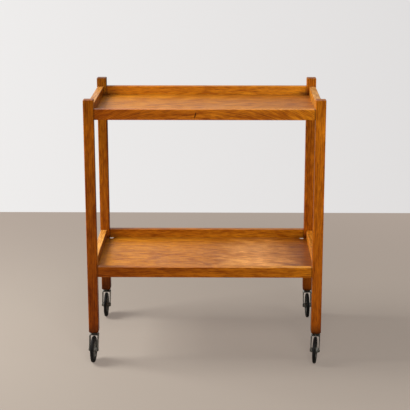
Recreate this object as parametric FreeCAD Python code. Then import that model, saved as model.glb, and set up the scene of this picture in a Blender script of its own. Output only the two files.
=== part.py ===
import FreeCAD, Part
import math
import os

# Two-tier tea trolley: four square legs, two railed trays and four swivel casters.
# Millimetres, +X to the right, +Y to the back, +Z up.
# The origin is on the floor, under the middle of the overall outline.

# Legs
WIDTH = 650.0  # over the legs, left to right
DEPTH = 403.0  # over the legs, front to back
HEIGHT = 746.0  # floor to the tops of the legs
LEG = 27.5  # side of the square leg
LEG_ROUND = 2.0  # easing of the leg's long edges and top
FOOT_INSET = 4.0  # how far the foot's bevel comes in on each side
FOOT_TAPER = 5.0  # height of the foot's bevel

# Trays
POST_RISE = 25.0  # leg tops above the upper rails
TRAY_SPACING = 442.5  # upper rail tops above lower rail tops
RAIL_HEIGHT = 29.0
RAIL_THICK = 18.5
RAIL_SETBACK = 1.5  # rail's outer face behind the leg's outer face
RAIL_ROUND = 1.5  # easing of the rail's long edges
REBATE_DEPTH = 9.0  # rebate for the panel, into the rail's thickness
PANEL_THICK = 4.0  # panel between the rails
TONGUE_THICK = 3.0  # panel's thinner edge, in the rebate
PANEL_GAP = 0.5  # panel's edges to the rails
NOTCH_SIDE = 13.0  # panel's corner notch to the leg, left to right
NOTCH_FRONT = 6.5  # panel's corner notch to the leg, front to back
NOTCH_ROUND = 6.0  # inner corner of the notch

# Dowels in the rail ends
DOWEL_D = 8.0
DOWEL_SPACING = 13.0  # between the two dowels of a joint
DOWEL_IN_RAIL = 20.0
DOWEL_WALL = 1.0  # wood left in the leg between crossing dowels
DOWEL_END_GAP = 0.5  # hole bottom to dowel end
DOWEL_CHAMFER = 0.8
WOOD_FIT = 0.05  # radial clearance of dowels, screws and sockets in wood

# Panel screws
SCREW_D = 3.5
SCREW_HEAD_D = 7.0
SCREW_HEAD = 2.0  # height of the countersunk head
SCREW_LENGTH = 16.0
SCREW_SLOT = 0.8  # width and depth of the driving slot
SCREW_MARGIN = 60.0  # rail end to the nearest screw
SCREW_PITCH = 160.0  # about the distance between screws

# Caster wheels
WHEEL_D = 75.0
TYRE_WIDTH = 8.5
TYRE_SHOULDER = 3.2
RIM_D = 44.0
RIM_WIDTH = 7.6
RIM_WALL = 3.0
WEB_THICK = 3.0
WEB_DISH = 1.2  # height of the web's slopes to hub and rim
HUB_D = 14.0
HUB_GAP = 0.5  # hub end to fork arm
AXLE_D = 6.5
AXLE_FIT = 0.05  # radial clearance of the axle
AXLE_HEAD_D = 9.5
AXLE_HEAD = 1.4
AXLE_HEAD_ROUND = 0.9

# Caster forks
FORK_WIDTH = 25.0  # over the arms
FORK_SHEET = 2.0
FORK_BEND = 4.0  # outside radius of the bend
CROWN_DEPTH = 22.0  # front to back
CROWN_GAP = 2.2  # wheel to crown
BOSS_D = 12.0  # rounded end of an arm
TRAIL = 14.0  # stem axis to axle axis

# Caster stems and sockets
STEM_D = 11.0
STEM_FIT = 0.05  # radial clearance of the stem in its socket
STEM_LENGTH = 38.0  # above the crown
STEM_CHAMFER = 1.2
TAIL_D = 8.0  # stem's riveted tail in the crown
TAIL_FIT = 0.05
TAIL_HEAD_D = 12.0
TAIL_HEAD = 1.0
GROOVE_D = 9.2
RING_D = 12.0
RING_THICK = 1.6
RING_FROM_TOP = 8.0  # stem top to the middle of the ring
RING_PLAY = 0.1  # ring to groove
RING_CLEAR = 0.35  # ring to the recess in the socket
RING_SPLIT = 35.0  # opening of the split ring, in degrees
WASHER_D = 18.0
WASHER_THICK = 3.2
WASHER_LIP = 1.0  # depth of the washer's waist
RUN_GAP = 0.1  # washer to socket flange
SOCKET_D = 14.0
SOCKET_FLANGE_D = 19.0
SOCKET_FLANGE = 1.5
SOCKET_CAP = 1.5  # closed end of the sleeve
SOCKET_END_GAP = 1.0  # sleeve end to hole bottom
STEM_END_GAP = 1.5  # stem top to the sleeve's closed end

# How far each wheel's axle stands to the right of its stem at rest, as the casters were left
CASTER_SWING = {
    "front_left": -1.10,
    "front_right": -2.31,
    "back_left": -0.37,
    "back_right": 0.49,
}

X_AXIS = FreeCAD.Vector(1, 0, 0)
Z_AXIS = FreeCAD.Vector(0, 0, 1)
ORIGIN = FreeCAD.Vector(0, 0, 0)

# Heights of the caster's stack, from the floor up to the foot of the leg
wheel_r = WHEEL_D / 2
crown_under = WHEEL_D + CROWN_GAP
crown_top = crown_under + FORK_SHEET
flange_under = crown_top + WASHER_THICK + RUN_GAP
leg_foot = flange_under + SOCKET_FLANGE
stem_top = crown_top + STEM_LENGTH
sleeve_end = stem_top + STEM_END_GAP
socket_top = sleeve_end + SOCKET_CAP
ring_mid = stem_top - RING_FROM_TOP

# Bottoms of the two trays' rails
upper_base = HEIGHT - POST_RISE - RAIL_HEIGHT
TRAYS = {"upper": upper_base, "lower": upper_base - TRAY_SPACING}

# Leg axes, from the middle of the frame
leg_x = (WIDTH - LEG) / 2
leg_y = (DEPTH - LEG) / 2
LEGS = {
    "front_left": (-leg_x, -leg_y),
    "front_right": (leg_x, -leg_y),
    "back_left": (-leg_x, leg_y),
    "back_right": (leg_x, leg_y),
}

# Each rail: its length, its turn about Z and the middle of its outer face
long_rail = WIDTH - 2 * LEG
short_rail = DEPTH - 2 * LEG
outer_x = WIDTH / 2 - RAIL_SETBACK
outer_y = DEPTH / 2 - RAIL_SETBACK
RAILS = {
    "front_rail": (long_rail, 0, FreeCAD.Vector(0, -outer_y, 0)),
    "back_rail": (long_rail, 180, FreeCAD.Vector(0, outer_y, 0)),
    "left_rail": (short_rail, -90, FreeCAD.Vector(-outer_x, 0, 0)),
    "right_rail": (short_rail, 90, FreeCAD.Vector(outer_x, 0, 0)),
}

# A dowel stops short of the dowels that cross it in the same leg
dowel_in_leg = LEG - RAIL_SETBACK - RAIL_THICK / 2 - DOWEL_D / 2 - DOWEL_WALL

# The fork's inside width and the hub's width in it
fork_inside = FORK_WIDTH - 2 * FORK_SHEET
hub_width = fork_inside - 2 * HUB_GAP


def box(x0, x1, y0, y1, z0, z1):
    """A box between two corners."""
    return Part.makeBox(x1 - x0, y1 - y0, z1 - z0, FreeCAD.Vector(x0, y0, z0))


def rod(radius, length, start, axis):
    """A cylinder from a start point along an axis."""
    return Part.makeCylinder(radius, length, start, axis)


def turned(points, axis_start, axis):
    """A solid of revolution from an outline."""
    face = Part.Face(Part.makePolygon(points + [points[0]]))
    return face.revolve(axis_start, axis, 360)


def spun(outline):
    """A solid about Z from (radius, height) corners."""
    points = [FreeCAD.Vector(r, 0, z) for r, z in outline]
    return turned(points, ORIGIN, Z_AXIS)


def edges_where(shape, test):
    """The straight edges whose middle and direction pass a test."""
    chosen = []
    for edge in shape.Edges:
        if len(edge.Vertexes) == 2:
            a = edge.Vertexes[0].Point
            b = edge.Vertexes[1].Point
            if test((a + b) * 0.5, (b - a).normalize()):
                chosen.append(edge)
    return chosen


def placed(shape, angle, position):
    """A copy turned about Z and moved."""
    copy = shape.copy()
    copy.rotate(ORIGIN, Z_AXIS, angle)
    copy.translate(position)
    return copy


def on_rail(shape, rail, base):
    """A copy moved from a rail's own frame to its place in a tray."""
    length, angle, outer = RAILS[rail]
    return placed(shape, angle, outer + FreeCAD.Vector(0, 0, base))


# In a rail's own frame X runs along it, Y from its outer face inwards and Z up from its base.


def dowel_starts(length):
    """Centres of the rail's end faces for its dowels, with the way out of the rail."""
    starts = []
    for side in (-1, 1):
        for level in (-1, 1):
            z = RAIL_HEIGHT / 2 + level * DOWEL_SPACING / 2
            point = FreeCAD.Vector(side * length / 2, RAIL_THICK / 2, z)
            starts.append((point, X_AXIS * side))
    return starts


def dowels(length):
    """The dowels of one rail."""
    made = []
    for point, out in dowel_starts(length):
        pin = rod(DOWEL_D / 2, DOWEL_IN_RAIL + dowel_in_leg, point - out * DOWEL_IN_RAIL, out)
        rims = [edge for edge in pin.Edges if len(edge.Vertexes) == 1]
        made.append(pin.makeChamfer(DOWEL_CHAMFER, rims))
    return made


def dowel_holes(length):
    """The holes for one rail's dowels, through rail end and leg."""
    radius = DOWEL_D / 2 + WOOD_FIT
    reach = DOWEL_IN_RAIL + dowel_in_leg + 2 * DOWEL_END_GAP
    back = DOWEL_IN_RAIL + DOWEL_END_GAP
    return [rod(radius, reach, point - out * back, out) for point, out in dowel_starts(length)]


def screw_spots(length):
    """Where the screws enter the underside of the panel, below one rail."""
    y = RAIL_THICK - REBATE_DEPTH / 2
    span = length - 2 * SCREW_MARGIN
    gaps = max(1, round(span / SCREW_PITCH))
    return [FreeCAD.Vector(-span / 2 + i * span / gaps, y, 0) for i in range(gaps + 1)]


def screw_form(spot, clearance, end_gap):
    """A countersunk screw, or the hole that clears it."""
    shank = SCREW_D / 2 + clearance
    head = SCREW_HEAD_D / 2 + clearance
    end = SCREW_LENGTH + end_gap
    form = spun([(0, 0), (head, 0), (shank, SCREW_HEAD), (shank, end), (0, end)])
    form.translate(spot)
    return form


def screws(length):
    """The screws below one rail, each with a driving slot."""
    made = []
    for spot in screw_spots(length):
        x, y = spot.x, spot.y
        half = SCREW_SLOT / 2
        slot = box(x - SCREW_HEAD_D, x + SCREW_HEAD_D, y - half, y + half, -SCREW_SLOT, SCREW_SLOT)
        made.append(screw_form(spot, 0, 0).cut(slot))
    return made


def screw_holes(length):
    """The holes for one rail's screws, through panel and rail."""
    return [screw_form(s, WOOD_FIT, DOWEL_END_GAP) for s in screw_spots(length)]


def rail(length):
    """A rail with eased edges, a rebate for the panel and its holes."""
    blank = box(-length / 2, length / 2, 0, RAIL_THICK, 0, RAIL_HEIGHT)
    inner_low = RAIL_THICK / 2

    def long_edge(middle, way):
        """True for the long edges, except the one that the rebate takes away."""
        return abs(way.x) > 0.9 and not (middle.y > inner_low and middle.z < RAIL_HEIGHT / 2)

    blank = blank.makeFillet(RAIL_ROUND, edges_where(blank, long_edge))
    rebate = box(-length, length, RAIL_THICK - REBATE_DEPTH, 2 * RAIL_THICK, -1, TONGUE_THICK)
    return blank.cut([rebate] + dowel_holes(length) + screw_holes(length))


def panel(base):
    """A tray panel: a field between the rails, a tongue in their rebates, four corner notches."""
    field_x = outer_x - RAIL_THICK - PANEL_GAP
    field_y = outer_y - RAIL_THICK - PANEL_GAP
    tongue_x = field_x + REBATE_DEPTH
    tongue_y = field_y + REBATE_DEPTH
    board = box(-tongue_x, tongue_x, -tongue_y, tongue_y, base, base + TONGUE_THICK)
    field = box(-field_x, field_x, -field_y, field_y, base, base + PANEL_THICK)
    board = board.fuse(field).removeSplitter()
    notch_x = WIDTH / 2 - LEG - NOTCH_SIDE
    notch_y = DEPTH / 2 - LEG - NOTCH_FRONT
    cuts = []
    for side in (-1, 1):
        for end in (-1, 1):
            xs = sorted((side * notch_x, side * WIDTH))
            ys = sorted((end * notch_y, end * DEPTH))
            notch = box(xs[0], xs[1], ys[0], ys[1], base - 1, base + PANEL_THICK + 1)

            def inner_corner(middle, way):
                """True for the notch's corner that lies within the panel."""
                near_x = abs(middle.x - side * notch_x) < 0.1
                return abs(way.z) > 0.9 and near_x and abs(middle.y - end * notch_y) < 0.1

            cuts.append(notch.makeFillet(NOTCH_ROUND, edges_where(notch, inner_corner)))
    for name, (length, angle, outer) in RAILS.items():
        cuts += [on_rail(hole, name, base) for hole in screw_holes(length)]
    return board.cut(cuts)


def leg(x, y):
    """A leg with an eased top, a bevelled foot and its holes."""
    half = LEG / 2
    post = box(x - half, x + half, y - half, y + half, leg_foot, HEIGHT)

    def eased(middle, way):
        """True for the long edges and those of the top."""
        return abs(way.z) > 0.9 or middle.z > HEIGHT - 1

    post = post.makeFillet(LEG_ROUND, edges_where(post, eased))

    def square(side, z):
        """A square wire about the leg's axis."""
        corners = [(-side, -side), (side, -side), (side, side), (-side, side), (-side, -side)]
        return Part.makePolygon([FreeCAD.Vector(x + a, y + b, z) for a, b in corners])

    bevel = Part.makeLoft([square(half - FOOT_INSET, leg_foot), square(half, leg_foot + FOOT_TAPER)], True)
    above = box(x - half, x + half, y - half, y + half, leg_foot + FOOT_TAPER, HEIGHT)
    post = post.common(bevel.fuse(above))
    centre = FreeCAD.Vector(x, y, leg_foot - 1)
    depth = socket_top + SOCKET_END_GAP - leg_foot + 1
    cuts = [rod(SOCKET_D / 2 + WOOD_FIT, depth, centre, Z_AXIS)]
    for base in TRAYS.values():
        for name, (length, angle, outer) in RAILS.items():
            for hole in dowel_holes(length):
                hole = on_rail(hole, name, base)
                if hole.BoundBox.intersect(post.BoundBox):
                    cuts.append(hole)
    return post.cut(cuts)


# Caster pieces stand about the stem's axis, with the axle in front of it at -Y.


def socket():
    """The flanged sleeve in the leg's end, with a recess for the grip ring."""
    bore = STEM_D / 2 + STEM_FIT
    wall = SOCKET_D / 2
    recess = RING_D / 2 + RING_CLEAR
    low = ring_mid - RING_THICK / 2 - RING_CLEAR
    high = ring_mid + RING_THICK / 2 + RING_CLEAR
    return spun(
        [
            (bore, flange_under),
            (SOCKET_FLANGE_D / 2, flange_under),
            (SOCKET_FLANGE_D / 2, leg_foot),
            (wall, leg_foot),
            (wall, socket_top),
            (0, socket_top),
            (0, sleeve_end),
            (bore, sleeve_end),
            (bore, high),
            (recess, high),
            (recess, low),
            (bore, low),
        ]
    )


def stem():
    """The stem with its ring groove and the tail riveted under the crown."""
    radius = STEM_D / 2
    low = ring_mid - RING_THICK / 2 - RING_PLAY
    high = ring_mid + RING_THICK / 2 + RING_PLAY
    return spun(
        [
            (0, crown_under - TAIL_HEAD),
            (TAIL_HEAD_D / 2 - TAIL_HEAD / 2, crown_under - TAIL_HEAD),
            (TAIL_HEAD_D / 2, crown_under - TAIL_HEAD / 2),
            (TAIL_HEAD_D / 2, crown_under),
            (TAIL_D / 2, crown_under),
            (TAIL_D / 2, crown_top),
            (radius, crown_top),
            (radius, low),
            (GROOVE_D / 2, low),
            (GROOVE_D / 2, high),
            (radius, high),
            (radius, stem_top - STEM_CHAMFER),
            (radius - STEM_CHAMFER, stem_top),
            (0, stem_top),
        ]
    )


def grip_ring():
    """The split ring in the stem's groove."""
    inner = GROOVE_D / 2 + RING_PLAY
    low = ring_mid - RING_THICK / 2
    high = ring_mid + RING_THICK / 2
    outline = [(inner, low), (RING_D / 2, low), (RING_D / 2, high), (inner, high), (inner, low)]
    face = Part.Face(Part.makePolygon([FreeCAD.Vector(r, 0, z) for r, z in outline]))
    return face.revolve(ORIGIN, Z_AXIS, 360 - RING_SPLIT)


def washer():
    """The waisted thrust washer on the crown."""
    inner = STEM_D / 2 + RING_PLAY
    outer = WASHER_D / 2
    top = crown_top + WASHER_THICK
    third = WASHER_THICK / 3
    return spun(
        [
            (inner, crown_top),
            (outer, crown_top),
            (outer, crown_top + third),
            (outer - WASHER_LIP, crown_top + WASHER_THICK / 2),
            (outer - WASHER_LIP / 2, top - third),
            (outer - WASHER_LIP / 2, top),
            (inner, top),
        ]
    )


def tangent_angle(point, centre, radius, side):
    """The angle, about a circle's centre, where a line from a point touches the circle."""
    away = point - centre
    return math.atan2(away.z, away.y) + side * math.acos(radius / away.Length)


def fork():
    """The pressed fork: a crown with two arms that taper to the axle."""
    half = FORK_WIDTH / 2
    inside = fork_inside / 2
    front = -TRAIL - BOSS_D
    back = max(CROWN_DEPTH, BOSS_D)
    outer = box(-half, half, front, back, 0, crown_top)
    inner = box(-inside, inside, front - 1, back + 1, -1, crown_under)

    def bend(height):
        """A test for the two top edges that run front to back."""
        return lambda middle, way: abs(way.y) > 0.9 and abs(middle.z - height) < 0.1

    outer = outer.makeFillet(FORK_BEND, edges_where(outer, bend(crown_top)))
    inner = inner.makeFillet(FORK_BEND - FORK_SHEET, edges_where(inner, bend(crown_under)))
    channel = outer.cut(inner)

    centre = FreeCAD.Vector(-half, -TRAIL, wheel_r)
    front_top = FreeCAD.Vector(-half, -CROWN_DEPTH / 2, crown_top)
    back_top = FreeCAD.Vector(-half, CROWN_DEPTH / 2, crown_top)
    boss = BOSS_D / 2
    first = tangent_angle(front_top, centre, boss, 1)
    last = tangent_angle(back_top, centre, boss, -1) + 2 * math.pi

    def on_boss(angle):
        """A point on the rounded end of the arm."""
        return centre + FreeCAD.Vector(0, boss * math.cos(angle), boss * math.sin(angle))

    arc = Part.Arc(on_boss(first), on_boss((first + last) / 2), on_boss(last))
    side = Part.Wire(
        [
            Part.makeLine(back_top, front_top),
            Part.makeLine(front_top, on_boss(first)),
            arc.toShape(),
            Part.makeLine(on_boss(last), back_top),
        ]
    )
    blank = channel.common(Part.Face(side).extrude(X_AXIS * FORK_WIDTH))
    stem_hole = rod(TAIL_D / 2 + TAIL_FIT, 2 * FORK_BEND, FreeCAD.Vector(0, 0, crown_under - 1), Z_AXIS)
    axle_hole = rod(AXLE_D / 2 + AXLE_FIT, FORK_WIDTH, centre, X_AXIS)
    return blank.cut([stem_hole, axle_hole])


def axle():
    """The axle, a rivet with a rounded head outside each arm."""
    half = FORK_WIDTH / 2
    head = AXLE_HEAD_D / 2
    pin = rod(AXLE_D / 2, FORK_WIDTH, FreeCAD.Vector(-half, -TRAIL, wheel_r), X_AXIS)
    heads = []
    for side in (-1, 1):
        seat = FreeCAD.Vector(side * half, -TRAIL, wheel_r)
        cap = rod(head, AXLE_HEAD, seat, X_AXIS * side)
        rims = [e for e in cap.Edges if abs(e.CenterOfMass.x) > half + AXLE_HEAD - 0.1 and e.Closed]
        heads.append(cap.makeFillet(AXLE_HEAD_ROUND, rims))
    return pin.fuse(heads).removeSplitter()


def about_axle(outline):
    """A wheel piece about the axle from (across, radius) corners."""
    start = FreeCAD.Vector(0, -TRAIL, wheel_r)
    points = [start + FreeCAD.Vector(across, 0, radius) for across, radius in outline]
    return turned(points, start, X_AXIS)


def wheel_disc():
    """The wheel's hub, web and rim."""
    bore = AXLE_D / 2 + AXLE_FIT
    hub = HUB_D / 2
    rim = RIM_D / 2
    under_rim = rim - RIM_WALL
    half = [
        (hub_width / 2, bore),
        (hub_width / 2, hub - WEB_DISH),
        (hub_width / 2 - WEB_DISH, hub),
        (WEB_THICK / 2 + WEB_DISH, hub),
        (WEB_THICK / 2, hub + WEB_DISH),
        (WEB_THICK / 2, under_rim - WEB_DISH),
        (WEB_THICK / 2 + WEB_DISH, under_rim),
        (RIM_WIDTH / 2, under_rim),
        (RIM_WIDTH / 2, rim),
    ]
    return about_axle(half + [(-across, radius) for across, radius in reversed(half)])


def tyre():
    """The rubber tyre, with rounded shoulders."""
    start = FreeCAD.Vector(0, -TRAIL, wheel_r)
    half = TYRE_WIDTH / 2
    seat = RIM_D / 2
    slant = TYRE_SHOULDER * (1 - math.sqrt(0.5))

    def at(across, radius):
        """A point of the tyre's section."""
        return start + FreeCAD.Vector(across, 0, radius)

    edges = [Part.makeLine(at(half, seat), at(half, wheel_r - TYRE_SHOULDER))]
    for side in (1, -1):
        low = at(side * half, wheel_r - TYRE_SHOULDER)
        mid = at(side * (half - slant), wheel_r - slant)
        high = at(side * (half - TYRE_SHOULDER), wheel_r)
        edges.append(Part.Arc(low, mid, high).toShape())
    tread = half - TYRE_SHOULDER
    edges.append(Part.makeLine(at(tread, wheel_r), at(-tread, wheel_r)))
    edges.append(Part.makeLine(at(-half, wheel_r - TYRE_SHOULDER), at(-half, seat)))
    edges.append(Part.makeLine(at(-half, seat), at(half, seat)))
    section = Part.Face(Part.Wire(Part.__sortEdges__(edges)))
    return section.revolve(start, X_AXIS, 360)


def round_reach(across, radius, rounding, along, turn):
    """How far a rounded disc on a turned axle reaches along, or square to, its unturned axle."""
    flat = across - rounding
    rim = radius - rounding
    if along:
        return flat * math.cos(turn) + rim * abs(math.sin(turn)) + rounding
    return rim * math.cos(turn) + flat * abs(math.sin(turn)) + rounding


def rest_turn(corner):
    """The angle about its stem at which a caster stands at rest."""
    return math.asin(CASTER_SWING[corner] / TRAIL)


def frame_shift():
    """The move that puts the middle of the outline over the origin."""
    xs = [-WIDTH / 2, WIDTH / 2]
    ys = [-DEPTH / 2, DEPTH / 2]
    for corner, (x, y) in LEGS.items():
        turn = rest_turn(corner)
        axle_end = FORK_WIDTH / 2 + AXLE_HEAD
        side = round_reach(axle_end, AXLE_HEAD_D / 2, AXLE_HEAD_ROUND, True, turn)
        ahead = round_reach(TYRE_WIDTH / 2, wheel_r, TYRE_SHOULDER, False, turn)
        wheel_x = x + TRAIL * math.sin(turn)
        wheel_y = y - TRAIL * math.cos(turn)
        xs += [wheel_x - side, wheel_x + side]
        ys += [wheel_y - ahead, wheel_y + ahead]
    return FreeCAD.Vector(-(min(xs) + max(xs)) / 2, -(min(ys) + max(ys)) / 2, 0)


CASTER_PIECES = {
    "socket": socket,
    "stem": stem,
    "grip_ring": grip_ring,
    "washer": washer,
    "fork": fork,
    "axle": axle,
    "wheel_disc": wheel_disc,
    "tyre": tyre,
}


def build():
    """Every node of the trolley, by name, about the middle of the frame."""
    nodes = {}
    for corner, (x, y) in LEGS.items():
        nodes["leg_" + corner] = leg(x, y)
    for tray, base in TRAYS.items():
        nodes[tray + "_panel"] = panel(base)
        pins = []
        fixings = []
        for name, (length, angle, outer) in RAILS.items():
            nodes[tray + "_" + name] = on_rail(rail(length), name, base)
            pins += [on_rail(pin, name, base) for pin in dowels(length)]
            fixings += [on_rail(screw, name, base) for screw in screws(length)]
        nodes[tray + "_dowels"] = Part.makeCompound(pins)
        nodes[tray + "_screws"] = Part.makeCompound(fixings)
    for piece, make in CASTER_PIECES.items():
        solid = make()
        for corner, (x, y) in LEGS.items():
            spot = FreeCAD.Vector(x, y, 0)
            turn = math.degrees(rest_turn(corner))
            nodes["caster_" + corner + "_" + piece] = placed(solid, turn, spot)
    return nodes


os.makedirs("parts", exist_ok=True)
move = frame_shift()
for node, shape in build().items():
    shape.translate(move)
    shape.exportStep("parts/" + node + ".step")
print("frame middle at", round(move.x, 4), round(move.y, 4), "leg foot at Z", round(leg_foot, 4))
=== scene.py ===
"""Two-tier tea trolley: oiled hardwood frame, veneered trays and four swivel casters.

Lengths are in metres, and colours are linear.
"""

import logging
import math
from dataclasses import dataclass, replace
from enum import Enum

import bmesh
import bpy
from bpy.types import Material, Node, NodeTree
from bpy.types import NodeSocket as Socket
from mathutils import Euler, Matrix, Vector


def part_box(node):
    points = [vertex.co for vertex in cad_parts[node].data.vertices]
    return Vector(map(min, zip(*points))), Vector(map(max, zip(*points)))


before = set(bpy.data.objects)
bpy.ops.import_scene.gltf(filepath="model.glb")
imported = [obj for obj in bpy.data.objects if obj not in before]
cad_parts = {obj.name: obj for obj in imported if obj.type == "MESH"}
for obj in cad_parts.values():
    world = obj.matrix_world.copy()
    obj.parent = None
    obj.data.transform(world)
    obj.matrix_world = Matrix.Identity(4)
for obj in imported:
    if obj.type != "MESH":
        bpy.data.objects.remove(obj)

log = logging.getLogger("trolley")

Colour = tuple[float, float, float]
Triple = tuple[float, float, float]
Span = tuple[float, float]
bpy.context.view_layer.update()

# The mean of a noise, and of a share between 0 and 1.
MEAN = 0.5


class Grain(Enum):
    """The turn, about X, Y and Z, that lays a piece's fibres along the figure's X axis."""

    ALONG_X = (0.0, 0.0, 0.0)
    ALONG_Y = (0.0, 0.0, math.radians(-90))
    ALONG_Z = (0.0, math.radians(90), 0.0)


class Corner(Enum):
    """The four corners of the trolley, as the pieces' names give them."""

    FRONT_LEFT = "front_left"
    FRONT_RIGHT = "front_right"
    BACK_LEFT = "back_left"
    BACK_RIGHT = "back_right"


class Tier(Enum):
    """The two trays, as the pieces' names give them."""

    UPPER = "upper"
    LOWER = "lower"


class Side(Enum):
    """The four rails of a tray, with the way that their fibres run."""

    FRONT = ("front", Grain.ALONG_X)
    BACK = ("back", Grain.ALONG_X)
    LEFT = ("left", Grain.ALONG_Y)
    RIGHT = ("right", Grain.ALONG_Y)


class Graph:
    """A node tree with short ways to add and join nodes."""

    def __init__(self, tree: NodeTree) -> None:
        """Hold the tree that the nodes go into."""
        self.tree = tree

    def add(self, kind: str, **settings: object) -> Node:
        """Add a node and set its properties.

        Args:
            kind: the node's type.
            settings: properties by name.

        Returns:
            The new node.
        """
        node = self.tree.nodes.new(kind)
        for name, value in settings.items():
            setattr(node, name, value)
        return node

    def feed(self, node: Node, key: int | str, source: object) -> None:
        """Give an input a link or a constant.

        Args:
            node: the node whose input it is.
            key: the input's number or name.
            source: an output socket, a number or a triple.
        """
        target = node.inputs[key]
        if isinstance(source, Socket):
            self.tree.links.new(source, target)
        elif target.type == "RGBA":
            target.default_value = (*source, 1.0)
        else:
            target.default_value = source

    def _fed(self, kind: str, sources: tuple[object, ...], **settings: object) -> Node:
        """Add a node and feed its first inputs in order.

        Args:
            kind: the node's type.
            sources: sockets, numbers or triples for the inputs.
            settings: properties by name.

        Returns:
            The new node.
        """
        node = self.add(kind, **settings)
        for key, source in enumerate(sources):
            self.feed(node, key, source)
        return node

    def maths(self, operation: str, *sources: object, clamp: bool = False) -> Socket:
        """Work out a sum, kept between 0 and 1 where clamp asks for it."""
        return self._fed("ShaderNodeMath", sources, operation=operation, use_clamp=clamp).outputs[0]

    def plus(self, first: object, second: object) -> Socket:
        """Add two values."""
        return self.maths("ADD", first, second)

    def minus(self, first: object, second: object) -> Socket:
        """Take the second value from the first."""
        return self.maths("SUBTRACT", first, second)

    def times(self, first: object, second: object) -> Socket:
        """Multiply two values."""
        return self.maths("MULTIPLY", first, second)

    def vector(self, operation: str, *sources: object) -> Socket:
        """Work out a sum of vectors that gives a vector."""
        return self._fed("ShaderNodeVectorMath", sources, operation=operation).outputs[0]

    def measure(self, operation: str, *sources: object) -> Socket:
        """Work out a sum of vectors that gives a number."""
        return self._fed("ShaderNodeVectorMath", sources, operation=operation).outputs["Value"]

    def split(self, source: Socket) -> tuple[Socket, Socket, Socket]:
        """Take a vector's X, Y and Z."""
        return tuple(self._fed("ShaderNodeSeparateXYZ", (source,)).outputs)

    def join(self, x: object, y: object, z: object) -> Socket:
        """Make a vector of its X, Y and Z."""
        return self._fed("ShaderNodeCombineXYZ", (x, y, z)).outputs[0]

    def shade(self, red: object, green: object, blue: object) -> Socket:
        """Make a colour of its red, green and blue."""
        return self._fed("ShaderNodeCombineColor", (red, green, blue)).outputs[0]

    def noise(self, where: Socket, scale: object, detail: float, roughness: float = 0.5) -> Socket:
        """Add a noise texture.

        Args:
            where: the socket of the point.
            scale: waves for each unit.
            detail: how many finer layers it has.
            roughness: how strong those layers are.

        Returns:
            The noise's value socket.
        """
        node = self.add("ShaderNodeTexNoise")
        self.feed(node, "Vector", where)
        self.feed(node, "Scale", scale)
        self.feed(node, "Detail", detail)
        self.feed(node, "Roughness", roughness)
        return node.outputs["Fac"]

    def span(
        self, value: Socket, low: object, high: object, start: object = 0.0, end: object = 1.0,
    ) -> Socket:
        """Map a value from one range to another, clamped.

        Args:
            value: the socket to map.
            low: the value that gives start.
            high: the value that gives end.
            start: the lower result.
            end: the upper result.

        Returns:
            The result's socket.
        """
        sources = (value, low, high, start, end)
        return self._fed("ShaderNodeMapRange", sources, clamp=True).outputs[0]

    def mix(self, share: object, first: object, second: object, blend: str = "MIX") -> Socket:
        """Mix two colours.

        Args:
            share: how much of the second colour shows.
            first: the first colour or its socket.
            second: the second colour or its socket.
            blend: the way to mix them.

        Returns:
            The colour's socket.
        """
        node = self.add("ShaderNodeMix", data_type="RGBA", blend_type=blend, clamp_factor=True)
        for key, source in ((0, share), (6, first), (7, second)):
            self.feed(node, key, source)
        return node.outputs[2]

    def around(
        self, point: Socket, middle: Triple, reach: Triple, turn: Triple = (0.0, 0.0, 0.0),
    ) -> Socket:
        """Measure how far a point lies from a middle.

        Args:
            point: the socket of the point.
            middle: where the distance is 0.
            reach: how far away, each way, the distance is 1.
            turn: how the reach is turned, about X, Y and Z.

        Returns:
            The distance's socket.
        """
        node = self.add("ShaderNodeMapping", vector_type="TEXTURE")
        self.feed(node, "Vector", point)
        self.feed(node, "Location", middle)
        self.feed(node, "Rotation", turn)
        self.feed(node, "Scale", reach)
        return self.measure("LENGTH", node.outputs[0])


class SharedEffect(Graph):
    """A node group with named inputs and outputs."""

    def __init__(self, name: str, inputs: dict[str, str], outputs: dict[str, str]) -> None:
        """Make an empty group with its sockets.

        Args:
            name: the group's name.
            inputs: each input's kind.
            outputs: each output's kind.
        """
        super().__init__(bpy.data.node_groups.new(name, "ShaderNodeTree"))
        for way, sockets in (("INPUT", inputs), ("OUTPUT", outputs)):
            for label, kind in sockets.items():
                self.tree.interface.new_socket(label, in_out=way, socket_type=f"NodeSocket{kind}")
        self._start = self.add("NodeGroupInput")
        self._end = self.add("NodeGroupOutput")

    def given(self, name: str) -> Socket:
        """Find an input's socket."""
        return self._start.outputs[name]

    def give(self, name: str, source: Socket) -> None:
        """Feed an output."""
        self.feed(self._end, name, source)


@dataclass(frozen=True)
class Streaks:
    """A noise drawn out along the fibres: its waves in a metre each way, and its finer layers."""

    along: float
    across: float
    detail: float
    roughness: float = 0.5

    def field(self, graph: Graph, point: Socket, fineness: object = 1.0) -> Socket:
        """Lay the noise over a point, with its waves finer by a share."""
        drawn = graph.vector("MULTIPLY", point, (self.along, self.across, self.across))
        return graph.noise(drawn, fineness, self.detail, self.roughness)


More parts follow.
